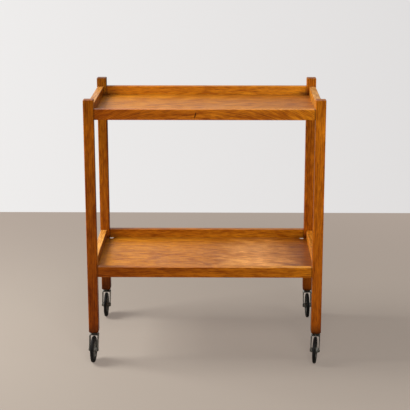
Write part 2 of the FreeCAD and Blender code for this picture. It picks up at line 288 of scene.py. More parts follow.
class TimberFigure(SharedEffect):
    """Growth rings, fibre streaks, dapples and open pores, with the fibres along X."""

    warp: Streaks = Streaks(2.2, 14.0, 3.0)
    broad: Streaks = Streaks(3.0, 26.0, 2.0)
    fibre: Streaks = Streaks(11.0, 130.0, 5.0, 0.74)
    spots: Streaks = Streaks(14.0, 50.0, 3.0, 0.6)
    flecks: Streaks = Streaks(40.0, 190.0, 2.0)
    pores: Streaks = Streaks(50.0, 820.0, 2.0, 0.6)
    warp_across: float = 0.012
    warp_radius: float = 0.006
    spring: Span = (0.0, 0.45)
    autumn: Span = (0.72, 1.0)
    autumn_share: float = 0.75
    broad_share: float = 1.2
    pore_edge: Span = (0.535, 0.63)
    pore_season: Span = (0.6, 0.1)
    late_pores: float = 0.45
    # Painted light gradient along the fibres: its least gain, and how much faster green and blue
    # rise.
    least_gain: float = 0.2
    gain_power: float = 1.6
    # Painted top light: how upward a face must lie, and how much paler it is made.
    upward: Span = (0.5, 0.95)
    toplight_gain: Colour = (0.72, 1.6, 11.0)
    fibre_height: float = 0.35
    numbers: tuple[str, ...] = (
        "Heart Y", "Heart Z", "Lean", "Bow", "Middle", "Slope", "Bleach", "Ring", "Figure",
        "Streak", "Dapple", "Fleck", "Fineness", "Pores",
    )

    def __init__(self) -> None:
        """Build the group."""
        inputs = {"Point": "Vector", "Pale": "Color", "Deep": "Color", "Pore": "Color"}
        inputs |= dict.fromkeys(self.numbers, "Float")
        outputs = {"Color": "Color", "Sheen": "Float", "Height": "Float"}
        super().__init__("timber_figure", inputs, outputs)
        x, y, z = self.split(self.given("Point"))
        along = self.minus(x, self.given("Middle"))
        bow = self.times(self.times(along, along), self.given("Bow"))
        swing = self.plus(self.times(along, self.given("Lean")), bow)
        lie = self.join(x, y, self.plus(z, swing))
        year = self._year(y, z, swing)
        fibre = self.fibre.field(self, lie)
        pores = self._pores(lie, year)
        colour = self.mix(self._tone(lie, year, fibre), self.given("Deep"), self.given("Pale"))
        colour = self.mix(pores, colour, self.given("Pore"))
        # Painted light: a light gradient along the board's fibres.
        colour = self.mix(1.0, colour, self._lightened(along), "MULTIPLY")
        # Painted light: the faces that lie upwards are made paler.
        self.give("Color", self.mix(1.0, colour, self._toplit(), "MULTIPLY"))
        self.give("Sheen", self.times(self.plus(pores, fibre), MEAN))
        self.give("Height", self.minus(self.times(fibre, self.fibre_height), pores))

    def _year(self, y: Socket, z: Socket, swing: Socket) -> Socket:
        """Find how far through its year's growth the wood at a point is.

        Args:
            y: the point's place across the fibres.
            z: the point's depth.
            swing: how far the fibres have swung there.

        Returns:
            The socket of the share of the year.
        """
        warp = self.minus(self.warp.field(self, self.given("Point")), MEAN)
        across = self.minus(y, self.given("Heart Y"))
        across = self.plus(across, self.times(warp, self.warp_across))
        depth = self.plus(self.minus(z, self.given("Heart Z")), swing)
        square = self.plus(self.times(across, across), self.times(depth, depth))
        radius = self.plus(self.maths("SQRT", square), self.times(warp, self.warp_radius))
        return self.maths("FRACT", self.maths("DIVIDE", radius, self.given("Ring")))

    def _pores(self, lie: Socket, year: Socket) -> Socket:
        """Mask the open pores, most of them in the year's early wood.

        Args:
            lie: the socket of the point, along the swung fibres.
            year: the share of the year.

        Returns:
            The mask's socket.
        """
        early = self.span(year, *self.pore_season, self.late_pores, 1.0)
        pores = self.times(self.span(self.pores.field(self, lie), *self.pore_edge), early)
        return self.times(pores, self.given("Pores"))

    def _tone(self, lie: Socket, year: Socket, fibre: Socket) -> Socket:
        """Find how pale the wood is, from its rings and streaks.

        Args:
            lie: the socket of the point, along the swung fibres.
            year: the share of the year.
            fibre: the noise of the fibres.

        Returns:
            The tone's socket: 0 is the deep colour and 1 the pale one.
        """
        late = self.times(self.span(year, *self.autumn), self.autumn_share)
        band = self.minus(self.span(year, *self.spring), late)
        tone = self.plus(self.times(self.minus(band, MEAN), self.given("Figure")), MEAN)
        shares = (
            (self.broad.field(self, self.given("Point")), self.broad_share),
            (fibre, self.given("Streak")),
            (self.spots.field(self, lie), self.given("Dapple")),
            (self.flecks.field(self, lie, self.given("Fineness")), self.given("Fleck")),
        )
        for field, share in shares:
            tone = self.plus(tone, self.times(self.minus(field, MEAN), share))
        return self.maths("MINIMUM", self.maths("MAXIMUM", tone, 0.0), 1.0)

    def _lightened(self, along: Socket) -> Socket:
        """Paint a light gradient along a board's fibres, its green and blue more than its red.

        Args:
            along: the place along the fibres, from the board's middle.

        Returns:
            The socket of the colour to multiply by.
        """
        gain = self.plus(self.times(along, self.given("Slope")), 1.0)
        gain = self.maths("MAXIMUM", gain, self.least_gain)
        steeper = self.maths("POWER", gain, self.gain_power)
        return self.shade(gain, steeper, steeper)

    def _toplit(self) -> Socket:
        """Make the faces that lie upwards paler: painted top light.

        Returns:
            The socket of the colour to multiply by.
        """
        facing = self.split(self.add("ShaderNodeNewGeometry").outputs["True Normal"])[2]
        lit_top = self.times(self.span(facing, *self.upward), self.given("Bleach"))
        gains = [self.plus(self.times(lit_top, share), 1.0) for share in self.toplight_gain]
        return self.shade(*gains)


class JointDirtAndShade(SharedEffect):
    """Dirt at a line's two ends, solid over a share of its reach; along panels it is painted shade.
    """

    solid: float = 0.4

    def __init__(self) -> None:
        """Build the group."""
        inputs = dict.fromkeys(("Along", "Low", "High", "Reach"), "Float")
        super().__init__("joint_soil_and_shade", inputs, {"Mask": "Float"})
        first = self.minus(self.given("Along"), self.given("Low"))
        last = self.minus(self.given("High"), self.given("Along"))
        near = self.maths("DIVIDE", self.maths("MINIMUM", first, last), self.given("Reach"))
        self.give("Mask", self.span(near, 1.0, self.solid))


class CornerShade(SharedEffect):
    """Painted shade in the four inner corners of a tray, from the panel upwards."""

    solid: float = 0.2
    below: float = 0.002

    def __init__(self) -> None:
        """Build the group."""
        inputs = dict.fromkeys(("Point", "Middle", "Corner", "Reach"), "Vector")
        super().__init__("corner_shade", inputs, {"Mask": "Float"})
        folded = []
        for label in ("Point", "Corner"):
            offset = self.vector("SUBTRACT", self.given(label), self.given("Middle"))
            folded.append(self.vector("ABSOLUTE", offset))
        away = self.vector("SUBTRACT", *folded)
        distance = self.measure("LENGTH", self.vector("DIVIDE", away, self.given("Reach")))
        above = self.span(self.split(away)[2], -self.below, 0.0)
        self.give("Mask", self.times(self.span(distance, 1.0, self.solid), above))


class EdgeWear(SharedEffect):
    """A broken mask along a piece's edges."""

    samples: int = 6
    turned: Span = (0.995, 0.8)
    chip_detail: float = 3.0
    chipped: Span = (0.4, 0.62)

    def __init__(self) -> None:
        """Build the group."""
        inputs = {"Point": "Vector", "Width": "Float", "Break": "Float"}
        super().__init__("edge_wear", inputs, {"Mask": "Float"})
        bevel = self.add("ShaderNodeBevel", samples=self.samples)
        self.feed(bevel, "Radius", self.given("Width"))
        flat = self.add("ShaderNodeNewGeometry").outputs["Normal"]
        edge = self.span(self.measure("DOT_PRODUCT", bevel.outputs[0], flat), *self.turned)
        chips = self.noise(self.given("Point"), self.given("Break"), self.chip_detail)
        self.give("Mask", self.times(edge, self.span(chips, *self.chipped)))


class Mottle(SharedEffect):
    """Soft clouds and fine specks, for dust, tarnish and handling."""

    cloud_detail: float = 4.0
    clouded: Span = (0.32, 0.7)
    speck_detail: float = 2.0
    specked: Span = (0.5, 0.72)

    def __init__(self) -> None:
        """Build the group."""
        inputs = {"Point": "Vector", "Cloud": "Float", "Speck": "Float"}
        super().__init__("mottle", inputs, {"Clouds": "Float", "Specks": "Float"})
        clouds = self.noise(self.given("Point"), self.given("Cloud"), self.cloud_detail)
        specks = self.noise(self.given("Point"), self.given("Speck"), self.speck_detail)
        self.give("Clouds", self.span(clouds, *self.clouded))
        self.give("Specks", self.span(specks, *self.specked))


class EffectGroups:
    """The shader effects that several finishes share, each built once."""

    def __init__(self) -> None:
        """Build the groups."""
        self.timber = TimberFigure().tree
        self.joints = JointDirtAndShade().tree
        self.nooks = CornerShade().tree
        self.edges = EdgeWear().tree
        self.mottle = Mottle().tree


def new_surface(name: str) -> tuple[Material, Graph, Node]:
    """Start a material with one shader.

    Args:
        name: the material's name.

    Returns:
        The material, its graph and its shader.
    """
    material = bpy.data.materials.new(name)
    material.use_nodes = True
    graph = Graph(material.node_tree)
    material.node_tree.nodes.clear()
    shader = graph.add("ShaderNodeBsdfPrincipled")
    output = graph.add("ShaderNodeOutputMaterial")
    graph.feed(output, "Surface", shader.outputs[0])
    return material, graph, shader


def use_group(graph: Graph, tree: NodeTree, **values: object) -> Node:
    """Place a shared effect in a material.

    Args:
        graph: the material's graph.
        tree: the effect's group.
        values: inputs by name, with _ for a space.

    Returns:
        The group's node.
    """
    node = graph.add("ShaderNodeGroup", node_tree=tree)
    for name, value in values.items():
        graph.feed(node, name.replace("_", " "), value)
    return node


def tinted(colour: Colour, tint: Colour) -> Colour:
    """Multiply a colour by a tint."""
    return tuple(channel * share for channel, share in zip(colour, tint))


def bump(graph: Graph, shader: Node, height: Socket, strength: float, distance: float) -> None:
    """Drive a shader's normal from a height.

    Args:
        graph: the material's graph.
        shader: the shader to drive.
        height: the height's socket.
        strength: how strongly it shows.
        distance: the height of a full step, in metres.
    """
    node = graph.add("ShaderNodeBump")
    graph.feed(node, "Strength", strength)
    graph.feed(node, "Distance", distance)
    graph.feed(node, "Height", height)
    graph.feed(shader, "Normal", node.outputs[0])


def tray_inside(tier: Tier) -> tuple[Triple, Triple]:
    """Find the space between a tray's rails.

    Args:
        tier: which tray.

    Returns:
        Its lower and its upper corner, from the panel up to the rails' tops.
    """
    front, back, left, right = (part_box(f"{tier.value}_{side.value[0]}_rail") for side in Side)
    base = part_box(f"{tier.value}_panel")[1].z
    return (left[1].x, front[1].y, base), (right[0].x, back[0].y, left[1].z)


def tray_middle(tier: Tier) -> Vector:
    """Find a tray's middle, seen from above, at the floor."""
    low, high = (Vector(corner) for corner in tray_inside(tier))
    return Vector((*((low + high) / 2).xy, 0.0))


@dataclass(frozen=True)
class Ground:
    """A board's graph and effects, its point on the object and in the figure, and its two ends."""

    graph: Graph
    groups: EffectGroups
    place: Socket
    point: Socket
    low: float
    high: float

    def along(self) -> Socket:
        """Find the place along the fibres."""
        return self.graph.split(self.point)[0]

    def masked(self, tree: NodeTree, share: float, **values: object) -> Socket:
        """Place a shared effect and let a share of its mask show."""
        effect = use_group(self.graph, tree, **values)
        return self.graph.times(effect.outputs["Mask"], share)


@dataclass(frozen=True)
class JointLine:
    """Dirt at a rail's two ends, where it meets the legs."""

    share: float = 0.6
    reach: float = 0.0045

    def mask(self, ground: Ground) -> Socket:
        """Mask the dirt."""
        ends = {"Low": ground.low, "High": ground.high, "Reach": self.reach}
        return ground.masked(ground.groups.joints, self.share, Along=ground.along(), **ends)


@dataclass(frozen=True)
class RailShade:
    """Painted shade on a panel along its rails: less at the ends than at the front and the back."""

    inside: tuple[Triple, Triple]
    shares: Span = (0.12, 0.36)
    reach: float = 0.03

    def mask(self, ground: Ground) -> Socket:
        """Mask the painted shade.

        Args:
            ground: what it lies on.

        Returns:
            The mask's socket.
        """
        masks = []
        ways = ground.graph.split(ground.place)
        for way, share, low, high in zip(ways, self.shares, *self.inside):
            line = {"Along": way, "Low": low, "High": high, "Reach": self.reach}
            masks.append(ground.masked(ground.groups.joints, share, **line))
        return ground.graph.maths("MAXIMUM", *masks)


@dataclass(frozen=True)
class Nook:
    """Painted shade in a tray's inner corners: how far it reaches each way and how dark it is."""

    tier: Tier
    corner: Triple
    reach: Triple
    share: float

    def mask(self, ground: Ground) -> Socket:
        """Mask the painted shade."""
        nook = {"Middle": tray_middle(self.tier), "Corner": self.corner, "Reach": self.reach}
        return ground.masked(ground.groups.nooks, self.share, Point=ground.place, **nook)


@dataclass(frozen=True)
class DarkTop:
    """A leg's top, darker below its end and a little more at its very end, painted shade beside the
    rails.
    """

    share: float
    fade: Span = (0.075, 0.045)
    tip: float = 0.003
    tip_share: float = 0.2

    def mask(self, ground: Ground) -> Socket:
        """Mask the dark top.

        Args:
            ground: what it lies on.

        Returns:
            The mask's socket.
        """
        graph, along = ground.graph, ground.along()
        start, full = (ground.high - drop for drop in self.fade)
        top_fade = graph.span(along, start, full, 0.0, self.share)
        tip = graph.span(along, ground.high - self.tip, ground.high)
        return graph.plus(top_fade, graph.times(tip, self.tip_share))


@dataclass(frozen=True)
class FootShade:
    """Painted shade at a leg's foot: how high it reaches, how dark it is and how much of it is
    solid.
    """

    height: float
    share: float
    solid: float = 0.2

    def mask(self, ground: Ground) -> Socket:
        """Mask the painted shade at the foot."""
        start, full = ground.low + self.height, ground.low + self.solid * self.height
        return ground.graph.span(ground.along(), start, full, 0.0, self.share)


@dataclass(frozen=True)
class Knot:
    """A small dark slanted knot on a board's front: its middle, its length and its slant."""

    x: float
    z: float
    length: float
    slant: float = math.radians(16)
    slender: float = 6.0
    depth: float = 10.0
    rim: Span = (0.55, 0.3)
    share: float = 0.9

    def mask(self, ground: Ground) -> Socket:
        """Mask the knot.

        Args:
            ground: what it lies on.

        Returns:
            The mask's socket.
        """
        reach = (self.length / self.slender, self.depth, self.length)
        turn = (0.0, self.slant, 0.0)
        away = ground.graph.around(ground.place, (self.x, 0.0, self.z), reach, turn)
        return ground.graph.span(away, *self.rim, 0.0, self.share)


@dataclass(frozen=True)
class LightPool:
    """A soft painted pool of light on a panel: its middle, its reach and its ragged edge."""

    x: float
    y: float
    reach: float
    stretch: float = 2.6
    height: float = 1000.0
    ragged: float = 28.0
    ragged_detail: float = 4.0
    solid: float = 0.1

    def mask(self, ground: Ground) -> Socket:
        """Mask the painted pool of light.

        Args:
            ground: what it lies on.

        Returns:
            The mask's socket.
        """
        graph = ground.graph
        reach = (self.reach, self.stretch * self.reach, self.height)
        away = graph.around(ground.place, (self.x, self.y, 0.0), reach)
        ragged = graph.minus(graph.noise(ground.place, self.ragged, self.ragged_detail), MEAN)
        return graph.span(graph.plus(away, ragged), 1.0, self.solid)


@dataclass(frozen=True)
class Seam:
    """The line, across X, where two leaves of veneer meet."""

    x: float
    half_width: float = 0.0002
    step: float = 0.083

    def second_leaf(self, graph: Graph, place: Socket, point: Socket) -> Socket:
        """Give the veneer to the right of the seam another figure.

        Args:
            graph: the material's graph.
            place: the socket of the point on the object.
            point: the socket of the point in the figure.

        Returns:
            The socket of the moved point.
        """
        x = graph.split(place)[0]
        right = graph.span(x, self.x - self.half_width, self.x + self.half_width)
        return graph.vector("ADD", point, graph.join(0.0, graph.times(right, self.step), 0.0))


@dataclass(frozen=True)
class Tone:
    """A board's tint, how fast it lightens along its fibres, and how much paler its top is made."""

    # The tints are partly each board's own tone and partly painted light and shade: lit and shaded
    # copies of one wood.
    tint: Colour = (1.0, 1.0, 1.0)
    # The lightening along the fibres is a painted light gradient.
    slope: float = 0.0
    # Painted top light: how much paler the board's upward faces are made.
    toplight: float = 0.0


@dataclass(frozen=True)
class Board:
    """How one board was cut from its log, and its marks: dirt, knots, painted shade and painted
    light.
    """

    grain: Grain
    tone: Tone = Tone()
    heart: Span = (0.02, -0.06)
    lean: float = 0.03
    bow: float = 0.0
    shift: Triple = (0.0, 0.0, 0.0)
    seam: Seam | None = None
    marks: tuple[JointLine | RailShade | Nook | DarkTop | FootShade | Knot, ...] = ()
    # A painted pool of light on the board.
    light_pool: LightPool | None = None

    def point(self, graph: Graph, place: Socket) -> Socket:
        """Find the point in the log's figure for a point on the object.

        Args:
            graph: the material's graph.
            place: the socket of the point on the object.

        Returns:
            The socket of the point in the figure.
        """
        turn = graph.add("ShaderNodeMapping")
        graph.feed(turn, "Vector", place)
        graph.feed(turn, "Rotation", self.grain.value)
        graph.feed(turn, "Location", self.shift)
        if self.seam is None:
            return turn.outputs[0]
        return self.seam.second_leaf(graph, place, turn.outputs[0])

    def ends(self, label: str) -> Span:
        """Find the board's two ends along its fibres, in its figure's own frame.

        Args:
            label: the board's node.

        Returns:
            The lower and the upper end.
        """
        turn = Euler(self.grain.value).to_matrix()
        ends = [(turn @ Vector(corner) + Vector(self.shift)).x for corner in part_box(label)]
        return min(ends), max(ends)


@dataclass(frozen=True)
class WoodFinish:
    """An oiled open-pored wood."""

    name: str
    pale: Colour
    deep: Colour
    pore: Colour
    worn: Colour
    # The colour of every mark: dirt at the joints, the knots, and painted shade in corners, along
    # rails and at feet.
    dirt_and_shade: Colour = (0.05, 0.010, 0.001)
    # How much paler the painted pool of light makes the colour.
    light_pool_gain: Colour = (2.2, 3.0, 16.0)
    ring: float = 0.0045
    figure: float = 0.35
    streak: float = 2.4
    dapple: float = 0.3
    fleck: float = 1.6
    fineness: float = 1.0
    pores: float = 0.8
    edge: float = 0.0018
    edge_break: float = 45.0
    edge_share: float = 0.45
    specular: float = 0.108
    roughness: Span = (0.28, 0.46)
    polish: Span = (0.15, 0.85)
    touch: float = 9.0
    touch_share: float = 0.6
    sheen_share: float = 0.4
    relief: float = 0.35
    relief_height: float = 0.0004

    def surface(self, groups: EffectGroups, label: str, board: Board) -> Material:
        """Make the finish for one board.

        Args:
            groups: the shared effects.
            label: the board's node.
            board: how the board was cut.

        Returns:
            The material.
        """
        material, graph, shader = new_surface(f"{self.name}_{label}")
        place = graph.add("ShaderNodeTexCoord").outputs["Object"]
        point = board.point(graph, place)
        ground = Ground(graph, groups, place, point, *board.ends(label))
        timber = self._timber(ground, board)
        edges = {"Width": self.edge, "Break": self.edge_break}
        worn = ground.masked(groups.edges, self.edge_share, Point=point, **edges)
        colour = graph.mix(worn, timber.outputs["Color"], self.worn)
        graph.feed(shader, "Base Color", self._marked(ground, board, colour))
        graph.feed(shader, "Specular IOR Level", self.specular)
        touch = use_group(graph, groups.mottle, Point=place, Cloud=self.touch)
        clouds = graph.times(touch.outputs["Clouds"], self.touch_share)
        polish = graph.plus(clouds, graph.times(timber.outputs["Sheen"], self.sheen_share))
        graph.feed(shader, "Roughness", graph.span(polish, *self.polish, *self.roughness))
        bump(graph, shader, timber.outputs["Height"], self.relief, self.relief_height)
        return material

    def _timber(self, ground: Ground, board: Board) -> Node:
        """Place the wood's figure.

        Args:
            ground: what it lies on.
            board: how the board was cut.

        Returns:
            The figure's node.
        """
        tone = board.tone
        return use_group(
            ground.graph, ground.groups.timber, Point=ground.point, Pore=self.pore,
            Pale=tinted(self.pale, tone.tint), Deep=tinted(self.deep, tone.tint),
            Heart_Y=board.heart[0], Heart_Z=board.heart[1], Lean=board.lean, Bow=board.bow,
            Middle=(ground.low + ground.high) / 2, Slope=tone.slope, Bleach=tone.toplight,
            Ring=self.ring, Figure=self.figure, Streak=self.streak, Dapple=self.dapple,
            Fleck=self.fleck, Fineness=self.fineness, Pores=self.pores,
        )

    def _marked(self, ground: Ground, board: Board, colour: Socket) -> Socket:
        """Lay the board's marks, mostly painted shade, and its painted pool of light over its
        colour.

        Args:
            ground: what they lie on.
            board: the board with its marks.
            colour: the socket of the clean colour.

        Returns:
            The colour's socket.
        """
        for mark in board.marks:
            colour = ground.graph.mix(mark.mask(ground), colour, self.dirt_and_shade)
        # The painted pool of light, multiplied over the colour.
        if board.light_pool is None:
            return colour
        return ground.graph.mix(board.light_pool.mask(ground), colour, self.light_pool_gain, "MULTIPLY")


@dataclass(frozen=True)
class MetalFinish:
    """A plated, bare or painted metal, with tarnish in soft clouds and brighter edges."""

    name: str
    bright: Colour
    dull: Colour
    metallic: float = 1.0
    roughness: Span = (0.24, 0.48)
    cloud: float = 70.0
    speck: float = 1800.0
    tarnish: float = 0.8
    edge: float = 0.0008
    edge_break: float = 220.0
    edge_share: float = 0.5
    relief: float = 0.25
    relief_height: float = 0.0002

    def surface(self, groups: EffectGroups, label: str) -> Material:
        """Make the finish for one piece.

        Args:
            groups: the shared effects.
            label: the piece's name.

        Returns:
            The material.
        """
        material, graph, shader = new_surface(f"{self.name}_{label}")
        point = graph.add("ShaderNodeTexCoord").outputs["Object"]
        mottle = use_group(graph, groups.mottle, Point=point, Cloud=self.cloud, Speck=self.speck)
        clouds = mottle.outputs["Clouds"]
        wear = use_group(graph, groups.edges, Point=point, Width=self.edge, Break=self.edge_break)
        colour = graph.mix(graph.times(clouds, self.tarnish), self.bright, self.dull)
        worn = graph.times(wear.outputs["Mask"], self.edge_share)
        graph.feed(shader, "Base Color", graph.mix(worn, colour, self.bright))
        graph.feed(shader, "Metallic", self.metallic)
        graph.feed(shader, "Roughness", graph.span(clouds, 0.0, 1.0, *self.roughness))
        bump(graph, shader, mottle.outputs["Specks"], self.relief, self.relief_height)
        return material


@dataclass(frozen=True)
class RubberFinish:
    """Matt black rubber, a little dusty."""

    name: str
    black: Colour
    dust: Colour
    cloud: float = 55.0
    speck: float = 1400.0
    dusting: float = 0.22
    specular: float = 0.14
    roughness: Span = (0.42, 0.68)
    relief: float = 0.3
    relief_height: float = 0.0003

    def surface(self, groups: EffectGroups, label: str) -> Material:
        """Make the finish for one tyre.

        Args:
            groups: the shared effects.
            label: the tyre's name.

        Returns:
            The material.
        """
        material, graph, shader = new_surface(f"{self.name}_{label}")
        point = graph.add("ShaderNodeTexCoord").outputs["Object"]
        mottle = use_group(graph, groups.mottle, Point=point, Cloud=self.cloud, Speck=self.speck)
        clouds, specks = mottle.outputs["Clouds"], mottle.outputs["Specks"]
        dusty = graph.times(graph.plus(clouds, specks), self.dusting)
        graph.feed(shader, "Base Color", graph.mix(dusty, self.black, self.dust))
        graph.feed(shader, "Roughness", graph.span(clouds, 0.0, 1.0, *self.roughness))
        graph.feed(shader, "Specular IOR Level", self.specular)
        bump(graph, shader, specks, self.relief, self.relief_height)
        return material


FRAME_WOOD = WoodFinish(
    "frame_wood",
    pale=(0.53, 0.155, 0.006),
    deep=(0.25, 0.052, 0.001),
    pore=(0.11, 0.018, 0.001),
    worn=(0.60, 0.23, 0.03),
)
TRAY_VENEER = WoodFinish(
    "tray_veneer",
    pale=(0.535, 0.180, 0.011),
    deep=(0.305, 0.081, 0.003),
    pore=(0.14, 0.028, 0.002),
    worn=(0.55, 0.22, 0.04),
    ring=0.006,
    figure=0.22,
    streak=1.6,
    dapple=0.9,
    fleck=3.0,
    fineness=0.7,
    roughness=(0.30, 0.46),
    specular=0.245,
)
BOLD_VENEER = replace(TRAY_VENEER, dapple=1.4, fleck=3.2, fineness=0.6)
DOWEL_WOOD = WoodFinish(
    "dowel_wood",
    pale=(0.62, 0.40, 0.20),
    deep=(0.45, 0.27, 0.12),
    pore=(0.28, 0.15, 0.06),
    worn=(0.65, 0.45, 0.25),
)
FORK_STEEL = MetalFinish(
    "fork_steel", bright=(0.26, 0.248, 0.215), dull=(0.11, 0.104, 0.088), roughness=(0.30, 0.52),
)
# Painted shade: a darkened steel for the socket and washer, under each leg's foot.
SHADED_STEEL = MetalFinish(
    "shaded_steel", bright=(0.10, 0.096, 0.083), dull=(0.04, 0.037, 0.031), roughness=(0.32, 0.55),
)
PLATED_STEEL = MetalFinish("plated_steel", bright=(0.42, 0.41, 0.39), dull=(0.22, 0.21, 0.20))
WHEEL_GREY = MetalFinish(
    "wheel_grey",
    bright=(0.185, 0.175, 0.150),
    dull=(0.085, 0.080, 0.067),
    metallic=0.0,
    roughness=(0.4, 0.62),
)
TYRE_RUBBER = RubberFinish(
    "tyre_rubber", black=(0.0045, 0.004, 0.0035), dust=(0.028, 0.025, 0.021),
)

# The rails' tones, in the order of Side.
# Painted light and shade: the tints are partly lit and shaded copies of one wood, and the slopes
# and top light are painted light.
UPPER_TONES = (
    Tone((1.16, 1.16, 1.25), 0.95, 0.4),
    Tone((1.20, 1.40, 1.40), 0.50),
    Tone((0.62, 0.61, 0.70), toplight=0.95),
    Tone((1.18, 1.60, 3.60), toplight=0.35),
)
UPPER_VENEER = Tone((1.10, 1.16, 0.95), -0.30)
LOWER_TONES = (
    Tone((0.93, 0.86, 0.68), 0.92, 0.75),
    Tone((1.02, 1.15, 1.12), 0.55),
    Tone((0.85, 0.92, 1.00), toplight=0.95),
    Tone((1.75, 2.15, 4.00)),
)
LOWER_VENEER = Tone((0.89, 0.91, 0.68), -0.50)


def dress(node: str, material: Material) -> None:
    """Give a CAD node its finish.

    Args:
        node: the node's name.
        material: the finish.
    """
    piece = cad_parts[node]
    piece.data.materials.clear()
    piece.data.materials.append(material)
    log.info("dressed %s", node)


@dataclass(frozen=True)
class LegLook:
    """One leg's tone, how high its painted corner shade reaches, its dark top and its painted foot
    shade.
    """

    tone: Tone
    # How high the painted shade in the leg's inner corners reaches.
    nook_shade: float
    # The dark top, which is painted shade where it runs down beside the rails.
    grip: DarkTop
    # Painted shade at the leg's foot.
    foot_shade: FootShade


@dataclass
class Legs:
    """The four square legs, with their looks in the order of Corner."""

    groups: EffectGroups
    # Each leg's tint is partly painted light and shade, and its slope is a painted light gradient.
    looks: tuple[LegLook, ...] = (
        LegLook(Tone((0.73, 0.60, 0.46), 0.88), 0.012, DarkTop(0.27), FootShade(0.032, 0.50)),
        LegLook(Tone((1.10, 1.02, 0.78), 0.78), 0.024, DarkTop(0.24), FootShade(0.031, 0.75)),
        LegLook(Tone((0.88, 0.87, 0.76), 1.05), 0.012, DarkTop(0.62), FootShade(0.050, 0.62)),
        LegLook(Tone((1.24, 1.18, 1.15), 0.75), 0.026, DarkTop(0.36), FootShade(0.016, 0.60)),
    )
    heart: Span = (0.07, 0.02)
    lean: float = 0.012
    step: Triple = (0.31, 0.043, 0.029)
    # How far the painted corner shade on the legs reaches, and how dark it is.
    nook_shade_reach: float = 0.022
    nook_shade_share: float = 0.9

    def build(self) -> None:
        """Dress each leg with upright fibres and a figure of its own, with painted shade towards
        the foot.
        """
        for number, (corner, look) in enumerate(zip(Corner, self.looks)):
            label = f"leg_{corner.value}"
            # Marks: painted corner shade, the dark top with its painted shade beside the rails, and
            # painted foot shade.
            board = Board(
                Grain.ALONG_Z, look.tone, heart=self.heart, lean=self.lean,
                shift=tuple(step * number for step in self.step),
                marks=(*self._nooks(look.nook_shade), look.grip, look.foot_shade),
            )
            dress(label, FRAME_WOOD.surface(self.groups, label, board))

    def _nooks(self, height: float) -> tuple[Nook, ...]:
        """Place painted shade on a leg's inner faces, above each panel.

        Args:
            height: how high it reaches.

        Returns:
            The painted shade in each tray's corner.
        """
        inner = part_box(f"leg_{Corner.BACK_RIGHT.value}")[0]
        reach = (self.nook_shade_reach, self.nook_shade_reach, height)
        nooks = []
        for tier in Tier:
            base = tray_inside(tier)[0][2]
            nooks.append(Nook(tier, (inner.x, inner.y, base), reach, self.nook_shade_share))
        return tuple(nooks)


@dataclass
class Tray:
    """One tray: four rails, a veneered panel and its hidden fixings.

    Its boards come from one log, and cut says how far along that log they start.
    """

    tier: Tier
    groups: EffectGroups
    cut: float
    tones: tuple[Tone, ...]
    panel_tone: Tone
    veneer: WoodFinish = TRAY_VENEER
    # How dark the painted shade in the rails' inner corners is.
    nook_shade: float = 0.6
    front_bow: float = 0.0
    knots: tuple[Knot, ...] = ()
    seam: Seam | None = None
    # A painted pool of light on the panel.
    light_pool: LightPool | None = None
    rail_bow: float = 0.1
    rail_step: Triple = (0.37, 0.05, 0.03)
    # How far the painted corner shade reaches on the long and on the end rails.
    long_nook_shade: Triple = (0.055, 0.012, 0.015)
    end_nook_shade: Triple = (0.012, 0.06, 0.015)
    panel_heart: Span = (0.04, -0.12)
    panel_lean: float = 0.05
    panel_drift: float = 0.02
    # The painted shade in the panel's corners: how far it reaches and how dark it is.
    panel_nook_shade: Triple = (0.05, 0.07, 0.03)
    panel_nook_shade_share: float = 0.6

    def build(self) -> None:
        """Dress the tray's pieces."""
        inside = tray_inside(self.tier)
        corner = (inside[1][0], inside[1][1], inside[0][2])
        for number, (side, tone) in enumerate(zip(Side, self.tones)):
            self._rail(number, side, tone, corner)
        self._panel(inside, corner)
        self._fixings()

    def _rail(self, number: int, side: Side, tone: Tone, corner: Triple) -> None:
        """Dress one rail.

        Args:
            number: its place in the order of cutting.
            side: which rail it is.
            tone: its tone.
            corner: the tray's inner corner, on the panel.
        """
        word, grain = side.value
        label = f"{self.tier.value}_{word}_rail"
        bow, knots = (self.front_bow, self.knots) if side is Side.FRONT else (self.rail_bow, ())
        reach = self.long_nook_shade if grain is Grain.ALONG_X else self.end_nook_shade
        # Dirt at the joints, and painted shade in the tray's corners.
        marks = (JointLine(), Nook(self.tier, corner, reach, self.nook_shade), *knots)
        along, across, deep = (step * number for step in self.rail_step)
        board = Board(grain, tone, bow=bow, shift=(self.cut + along, across, deep), marks=marks)
        dress(label, FRAME_WOOD.surface(self.groups, label, board))

    def _panel(self, inside: tuple[Triple, Triple], corner: Triple) -> None:
        """Dress the panel.

        Args:
            inside: the two corners of the space between the rails.
            corner: the tray's inner corner, on the panel.
        """
        label = f"{self.tier.value}_panel"
        shift = (self.cut, self.panel_drift * self.cut, -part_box(label)[1].z)
        nook = Nook(self.tier, corner, self.panel_nook_shade, self.panel_nook_shade_share)
        # Marks: painted shade along the rails and in the corners.
        board = Board(
            Grain.ALONG_X, self.panel_tone, heart=self.panel_heart, lean=self.panel_lean,
            shift=shift, seam=self.seam, marks=(RailShade(inside), nook), light_pool=self.light_pool,
        )
        dress(label, self.veneer.surface(self.groups, label, board))

    def _fixings(self) -> None:
        """Dress the dowels and the screws."""
        dowels, screws = f"{self.tier.value}_dowels", f"{self.tier.value}_screws"
        dress(dowels, DOWEL_WOOD.surface(self.groups, dowels, Board(Grain.ALONG_X)))
        dress(screws, PLATED_STEEL.surface(self.groups, screws))


